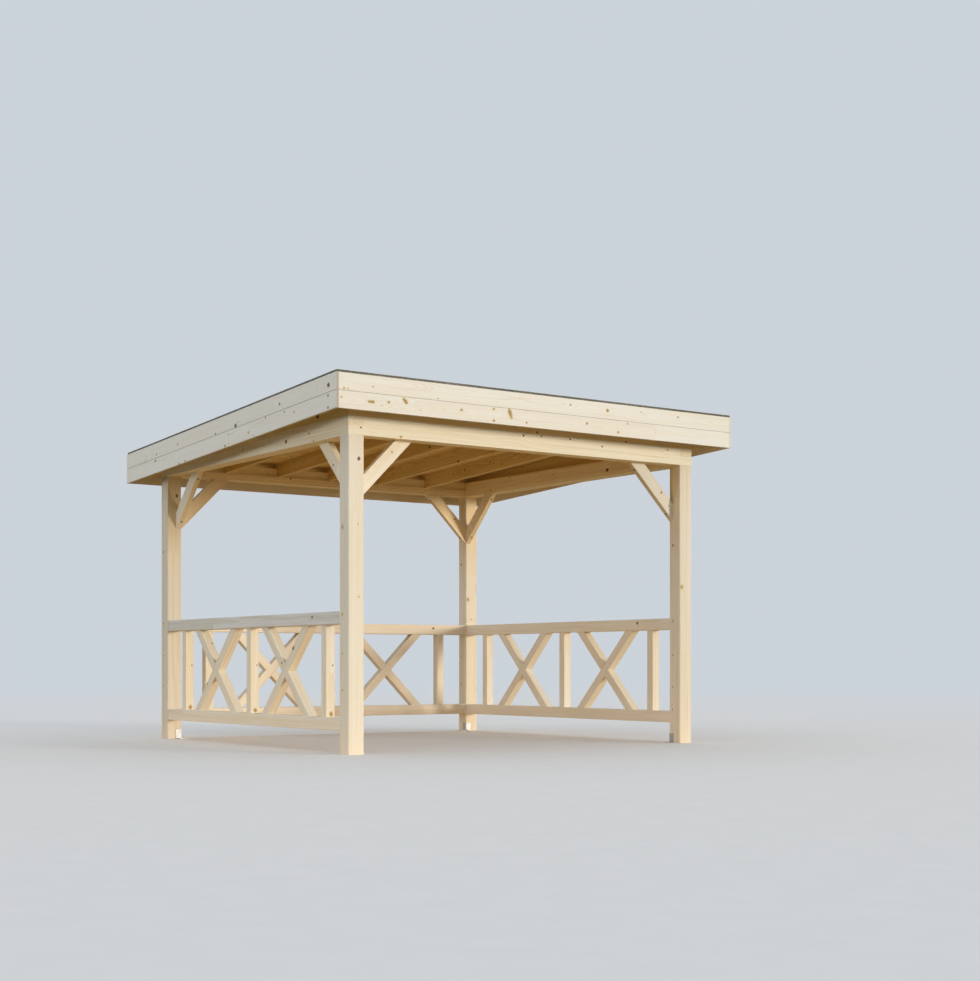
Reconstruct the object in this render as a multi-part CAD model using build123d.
from build123d import *
import os
from math import sqrt

# Garden gazebo: four posts, a half-lapped ring of beams, a lean roof that falls
# to the back, and three railings with half-lapped crosses. The front is open.
# Millimetres, +Z up, ground at Z = 0. The open front faces -Y and the origin is
# on the ground under the middle of the post square.

# Post square, measured over the outer faces of the posts
frame_width = 3050.0
frame_depth = 3050.0
post_size = 120.0
post_chamfer = 5.0

# Ring of beams on top of the posts
beam_width = 120.0
beam_height = 128.0
beam_underside = 2138.0
timber_chamfer = 2.0

# Ledge cut into the inner edge of the back beam, where the rafters sit
ledge_depth = 22.0
ledge_above_underside = 57.0

# Rafters and the board that lifts their front ends
roof_fall = 178.0
roof_overhang = 212.0
rafter_width = 45.0
rafter_height = 115.0
rafter_spacing = 495.0
rafter_count = 5
riser_thickness = 45.0

# Roof boards and felt, with the felt turned up to a raised rim
deck_thickness = 18.0
felt_thickness = 4.0
felt_rim_height = 17.0
felt_rim_width = 20.0
felt_rim_inset = 6.0
felt_rim_run = 50.0

# Fascia, two boards high, the side boards lapping over the ends of the others
fascia_thickness = 18.0
fascia_board_height = 117.0
fascia_seam = 0.8
fascia_above_deck = 16.0
fascia_chamfer = 1.5

# Corner braces at 45 degrees, flush with the inner faces of the posts
brace_thickness = 45.0
brace_width = 96.0
brace_reach = 429.0

# Railings: two rails, three balusters and crosses at 45 degrees. The end bay is
# the clear gap between a post and the baluster next to it.
rail_height = 88.0
rail_thickness = 104.0
rail_chamfer = 4.0
top_rail_underside = 874.5
bottom_rail_underside = 155.0
bar_size = 68.0
bar_chamfer = 2.0
end_bay = 229.0
lap_clearance = 0.2

# Angle brackets that hold the posts down
bracket_width = 45.0
bracket_height = 72.0
bracket_reach = 55.0
bracket_sheet = 2.5
bracket_bend_radius = 5.0
bracket_inset = 2.0
screw_hole_radius = 2.5
screw_hole_levels = (36.0, 58.0)
anchor_hole_radius = 5.5
anchor_from_post = 32.0

# Places that follow from the sizes above
half_width = frame_width / 2
half_depth = frame_depth / 2
inner_x = half_width - post_size
inner_y = half_depth - post_size
beam_top = beam_underside + beam_height
lap_level = beam_underside + beam_height / 2
beam_inner_y = half_depth - beam_width
ledge_level = beam_underside + ledge_above_underside
roof_half_width = half_width + roof_overhang
roof_half_depth = half_depth + roof_overhang
roof_slope = roof_fall / (2 * roof_half_depth)
deck_half_width = roof_half_width - fascia_thickness
deck_half_depth = roof_half_depth - fascia_thickness
corners = {
    "front_left": (-1, -1),
    "front_right": (1, -1),
    "back_left": (-1, 1),
    "back_right": (1, 1),
}


# Heights of the sloping layers at a given depth
def rafter_bottom(y):
    return ledge_level + roof_slope * (beam_inner_y - y)


def rafter_top(y):
    return rafter_bottom(y) + rafter_height


def deck_top(y):
    return rafter_top(y) + deck_thickness


def fascia_top(y):
    return deck_top(y) + fascia_above_deck


# Basic shapes
def block(x_range, y_range, z_range):
    size = [high - low for low, high in (x_range, y_range, z_range)]
    middle = [(high + low) / 2 for low, high in (x_range, y_range, z_range)]
    return Pos(*middle) * Box(*size)


def side_profile(points, x_range):
    """A prism along X from (y, z) points."""
    outline = [(x_range[0], y, z) for y, z in points]
    return extrude(make_face(Polyline(*outline, close=True)), x_range[1] - x_range[0], dir=(1, 0, 0))


def front_profile(points, y_range, rise=0.0):
    """A prism along Y from (x, z) points, which may climb or fall on its way."""
    outline = [(x, y_range[0], z) for x, z in points]
    way = Vector(0, y_range[1] - y_range[0], rise)
    return extrude(make_face(Polyline(*outline, close=True)), way.length, dir=way.normalized())


def ease_edges(shape, direction, size):
    """Chamfer the long edges of a timber that runs in the given direction."""
    grain = Axis((0, 0, 0), direction)
    return chamfer(shape.edges().filter_by(grain), size)


def span(sign, near, far):
    """A range on the side given by the sign, from near to far of the middle."""
    return tuple(sorted((sign * near, sign * far)))


# Posts, with eased corners
def make_post(side_x, side_y):
    post = block(
        span(side_x, inner_x, half_width),
        span(side_y, inner_y, half_depth),
        (0, beam_underside),
    )
    return ease_edges(post, (0, 0, 1), post_chamfer)


# Front and back beams lie in the lower half of each corner joint
def make_cross_beam(side_y):
    y_range = span(side_y, beam_inner_y, half_depth)
    beam = block((-half_width, half_width), y_range, (beam_underside, beam_top))
    beam = ease_edges(beam, (1, 0, 0), timber_chamfer)
    for side_x in (-1, 1):
        lap = block(
            span(side_x, half_width - beam_width, half_width),
            y_range,
            (lap_level, beam_top),
        )
        beam -= lap
    return beam


# Side beams lie in the upper half of each corner joint
def make_side_beam(side_x):
    x_range = span(side_x, half_width - beam_width, half_width)
    beam = block(x_range, (-half_depth, half_depth), (beam_underside, beam_top))
    beam = ease_edges(beam, (0, 1, 0), timber_chamfer)
    for side_y in (-1, 1):
        lap = block(x_range, span(side_y, beam_inner_y, half_depth), (beam_underside, lap_level))
        beam -= lap
    return beam


def cut_rafter_ledge(beam):
    """The ledge along the back beam, between the side beams."""
    ledge = block(
        (-(half_width - beam_width), half_width - beam_width),
        (beam_inner_y, beam_inner_y + ledge_depth),
        (ledge_level, beam_top),
    )
    return beam - ledge


# The board on the front beam is planed to the slope of the rafters
def make_riser():
    front = -half_depth
    back = -half_depth + riser_thickness
    points = [
        (front, beam_top),
        (back, beam_top),
        (back, rafter_bottom(back)),
        (front, rafter_bottom(front)),
    ]
    return side_profile(points, (-half_width, half_width))


# Outline shared by all rafters behind the back beam
def rafter_tail():
    return [
        (half_depth, beam_top),
        (half_depth, rafter_bottom(half_depth)),
        (deck_half_depth, rafter_bottom(deck_half_depth)),
        (deck_half_depth, rafter_top(deck_half_depth)),
        (-deck_half_depth, rafter_top(-deck_half_depth)),
        (-deck_half_depth, rafter_bottom(-deck_half_depth)),
    ]


# A rafter sits level on the ledge and is notched over the back beam
def make_rafter(x):
    seat_end = beam_inner_y + ledge_depth
    points = [(beam_inner_y, ledge_level), (seat_end, ledge_level), (seat_end, beam_top)]
    rafter = side_profile(points + rafter_tail(), (x - rafter_width / 2, x + rafter_width / 2))
    return ease_edges(rafter, (0, 1, -roof_slope), timber_chamfer)


# The end rafters fill the taper between the side beams and the roof boards
def make_end_rafters():
    riser_back = -half_depth + riser_thickness
    points = rafter_tail() + [(riser_back, rafter_bottom(riser_back)), (riser_back, beam_top)]
    left, right = (
        side_profile(points, span(side_x, half_width - rafter_width, half_width)) for side_x in (-1, 1)
    )
    return Compound(children=[left, right])


# Roof boards, as one sloping layer
def make_deck():
    points = [
        (-deck_half_depth, rafter_top(-deck_half_depth)),
        (deck_half_depth, rafter_top(deck_half_depth)),
        (deck_half_depth, deck_top(deck_half_depth)),
        (-deck_half_depth, deck_top(-deck_half_depth)),
    ]
    return side_profile(points, (-deck_half_width, deck_half_width))


# Felt: a sheet on the boards, turned up over the edges into a raised rim
def make_felt():
    outer_x = roof_half_width - felt_rim_inset
    outer_y = roof_half_depth - felt_rim_inset
    fall = -roof_slope * 2 * deck_half_depth
    start = -deck_half_depth
    flat_x = outer_x - felt_rim_width - felt_rim_run
    trough = [
        (-deck_half_width, deck_top(start)),
        (-deck_half_width, fascia_top(start) + felt_rim_height),
        (-outer_x + felt_rim_width, fascia_top(start) + felt_rim_height),
        (-flat_x, deck_top(start) + felt_thickness),
        (flat_x, deck_top(start) + felt_thickness),
        (outer_x - felt_rim_width, fascia_top(start) + felt_rim_height),
        (deck_half_width, fascia_top(start) + felt_rim_height),
        (deck_half_width, deck_top(start)),
    ]
    felt = front_profile(trough, (-deck_half_depth, deck_half_depth), fall)
    for side in (-1, 1):
        rim = [
            (side * deck_half_width, fascia_top(-outer_y)),
            (side * outer_x, fascia_top(-outer_y)),
            (side * outer_x, fascia_top(-outer_y) + felt_rim_height),
            (side * deck_half_width, fascia_top(-outer_y) + felt_rim_height),
        ]
        felt += front_profile(rim, (-outer_y, outer_y), -roof_slope * 2 * outer_y)
        rim_end = side * (outer_y - felt_rim_width)
        flat_end = side * (outer_y - felt_rim_width - felt_rim_run)
        upstand = [
            (side * outer_y, fascia_top(side * outer_y)),
            (side * outer_y, fascia_top(side * outer_y) + felt_rim_height),
            (rim_end, fascia_top(rim_end) + felt_rim_height),
            (flat_end, deck_top(flat_end) + felt_thickness),
            (flat_end, deck_top(flat_end)),
            (side * deck_half_depth, deck_top(side * deck_half_depth)),
            (side * deck_half_depth, fascia_top(side * deck_half_depth)),
        ]
        felt += side_profile(upstand, (-deck_half_width, deck_half_width))
    return felt


# Fascia boards: row 0 is the upper board and row 1 the lower one
def fascia_board_top(y, row):
    return fascia_top(y) - row * (fascia_board_height + fascia_seam)


def make_side_fascia(side_x, row):
    front_top = fascia_board_top(-roof_half_depth, row)
    back_top = fascia_board_top(roof_half_depth, row)
    points = [
        (-roof_half_depth, front_top),
        (roof_half_depth, back_top),
        (roof_half_depth, back_top - fascia_board_height),
        (-roof_half_depth, front_top - fascia_board_height),
    ]
    board = side_profile(points, span(side_x, deck_half_width, roof_half_width))
    return ease_edges(board, (0, 1, -roof_slope), fascia_chamfer)


def make_end_fascia(side_y, row):
    lower_edge_y = -deck_half_depth if side_y < 0 else roof_half_depth
    top = fascia_board_top(lower_edge_y, row)
    board = block(
        (-deck_half_width, deck_half_width),
        span(side_y, deck_half_depth, roof_half_depth),
        (top - fascia_board_height, top),
    )
    return ease_edges(board, (1, 0, 0), fascia_chamfer)


# Two braces meet each post, one along X and one along Y
def make_braces(side_x, side_y):
    cut = brace_width * sqrt(2)
    low_tip = beam_underside - brace_reach

    def outline(side, inner):
        return [
            (side * inner, low_tip),
            (side * inner, low_tip + cut),
            (side * (inner - brace_reach + cut), beam_underside),
            (side * (inner - brace_reach), beam_underside),
        ]

    along_x = front_profile(outline(side_x, inner_x), span(side_y, inner_y, inner_y + brace_thickness))
    along_y = side_profile(outline(side_y, inner_y), span(side_x, inner_x, inner_x + brace_thickness))
    along_x = ease_edges(along_x, (-side_x, 0, 1), timber_chamfer)
    along_y = ease_edges(along_y, (0, -side_y, 1), timber_chamfer)
    return Compound(children=[along_x, along_y])


# Railings are made along X, about their own middle, then turned into place
bar_bottom = bottom_rail_underside + rail_height
bar_top = top_rail_underside


def make_rail(length, underside):
    rail = block(
        (-length / 2, length / 2),
        (-rail_thickness / 2, rail_thickness / 2),
        (underside, underside + rail_height),
    )
    return ease_edges(rail, (1, 0, 0), rail_chamfer)


def make_balusters(spacing):
    balusters = []
    for place in (-spacing, 0, spacing):
        bar = block(
            (place - bar_size / 2, place + bar_size / 2),
            (-bar_size / 2, bar_size / 2),
            (bar_bottom, bar_top),
        )
        balusters.append(ease_edges(bar, (0, 0, 1), bar_chamfer))
    return Compound(children=balusters)


def cross_outline(middle, lean, width):
    """A bar at 45 degrees between the rails, rising (+1) or falling (-1) along X."""
    reach = (bar_top - bar_bottom) / 2
    half_cut = width * sqrt(2) / 2
    return [
        (middle - lean * reach - half_cut, bar_bottom),
        (middle - lean * reach + half_cut, bar_bottom),
        (middle + lean * reach + half_cut, bar_top),
        (middle + lean * reach - half_cut, bar_top),
    ]


def make_cross_bars(lean, spacing):
    """The bars that lean one way, each halved where it crosses the other."""
    bars = []
    for middle in (-spacing / 2, spacing / 2):
        bar = front_profile(cross_outline(middle, lean, bar_size), (-bar_size / 2, bar_size / 2))
        bar = ease_edges(bar, (lean, 0, 1), bar_chamfer)
        notch_width = bar_size + 2 * lap_clearance
        notch_depth = (0, bar_size / 2) if lean > 0 else (-bar_size / 2, 0)
        bar -= front_profile(cross_outline(middle, -lean, notch_width), notch_depth)
        bars.append(bar)
    return Compound(children=bars)


def make_railing(clear_length):
    spacing = clear_length / 2 - end_bay - bar_size / 2
    return {
        "top_rail": make_rail(clear_length, top_rail_underside),
        "bottom_rail": make_rail(clear_length, bottom_rail_underside),
        "balusters": make_balusters(spacing),
        "rising_bars": make_cross_bars(1, spacing),
        "falling_bars": make_cross_bars(-1, spacing),
    }


railing_places = {
    "left": (Pos(-(half_width - post_size / 2), 0, 0) * Rot(0, 0, 90), 2 * inner_y),
    "right": (Pos(half_width - post_size / 2, 0, 0) * Rot(0, 0, -90), 2 * inner_y),
    "back": (Pos(0, half_depth - post_size / 2, 0), 2 * inner_x),
}


# An angle bracket made standing on the +X face of a post at X = 0, then placed
def make_bracket():
    outline = [
        (0, 0),
        (bracket_reach, 0),
        (bracket_reach, bracket_sheet),
        (bracket_sheet, bracket_sheet),
        (bracket_sheet, bracket_height),
        (0, bracket_height),
    ]
    half = bracket_width / 2
    bracket = front_profile(outline, (-half, half))
    inner_bend = bracket.edges().filter_by(Axis.Y).sort_by_distance((bracket_sheet, 0, bracket_sheet))[0]
    bracket = fillet(inner_bend, bracket_bend_radius - bracket_sheet)
    outer_bend = bracket.edges().filter_by(Axis.Y).sort_by_distance((0, 0, 0))[0]
    bracket = fillet(outer_bend, bracket_bend_radius)
    anchor = Pos(anchor_from_post, 0, 0) * Cylinder(anchor_hole_radius, 4 * bracket_sheet)
    bracket -= anchor
    for level in screw_hole_levels:
        bracket -= Pos(0, 0, level) * Rot(0, 90, 0) * Cylinder(screw_hole_radius, 4 * bracket_sheet)
    return bracket


def make_brackets():
    brackets = []
    bracket = make_bracket()
    middle = bracket_inset + bracket_width / 2
    for side_x, side_y in corners.values():
        turn_x = 180 if side_x > 0 else 0
        turn_y = 90 if side_y < 0 else -90
        on_side = Pos(side_x * inner_x, side_y * (inner_y + middle), 0) * Rot(0, 0, turn_x)
        on_front = Pos(side_x * (inner_x + middle), side_y * inner_y, 0) * Rot(0, 0, turn_y)
        brackets += [on_side * bracket, on_front * bracket]
    return Compound(children=brackets)


# The whole part, by node
def make_parts():
    parts = {}
    for name, (side_x, side_y) in corners.items():
        parts["post_" + name] = make_post(side_x, side_y)
        parts["braces_" + name] = make_braces(side_x, side_y)
    parts["post_brackets"] = make_brackets()

    parts["beam_front"] = make_cross_beam(-1)
    parts["beam_back"] = cut_rafter_ledge(make_cross_beam(1))
    parts["beam_left"] = make_side_beam(-1)
    parts["beam_right"] = make_side_beam(1)
    parts["front_riser"] = make_riser()

    for number in range(rafter_count):
        place = (number - (rafter_count - 1) / 2) * rafter_spacing
        parts[f"rafter_{number + 1}"] = make_rafter(place)
    parts["end_rafters"] = make_end_rafters()
    parts["roof_boards"] = make_deck()
    parts["roof_felt"] = make_felt()

    for row, level in enumerate(("upper", "lower")):
        parts[f"fascia_left_{level}"] = make_side_fascia(-1, row)
        parts[f"fascia_right_{level}"] = make_side_fascia(1, row)
        parts[f"fascia_front_{level}"] = make_end_fascia(-1, row)
        parts[f"fascia_back_{level}"] = make_end_fascia(1, row)

    for side, (place, clear_length) in railing_places.items():
        for piece, shape in make_railing(clear_length).items():
            parts[f"{side}_{piece}"] = place * shape
    return parts


gazebo = make_parts()
os.makedirs("parts", exist_ok=True)
for node, shape in gazebo.items():
    export_step(shape, f"parts/{node}.step")
print(len(gazebo), "nodes")
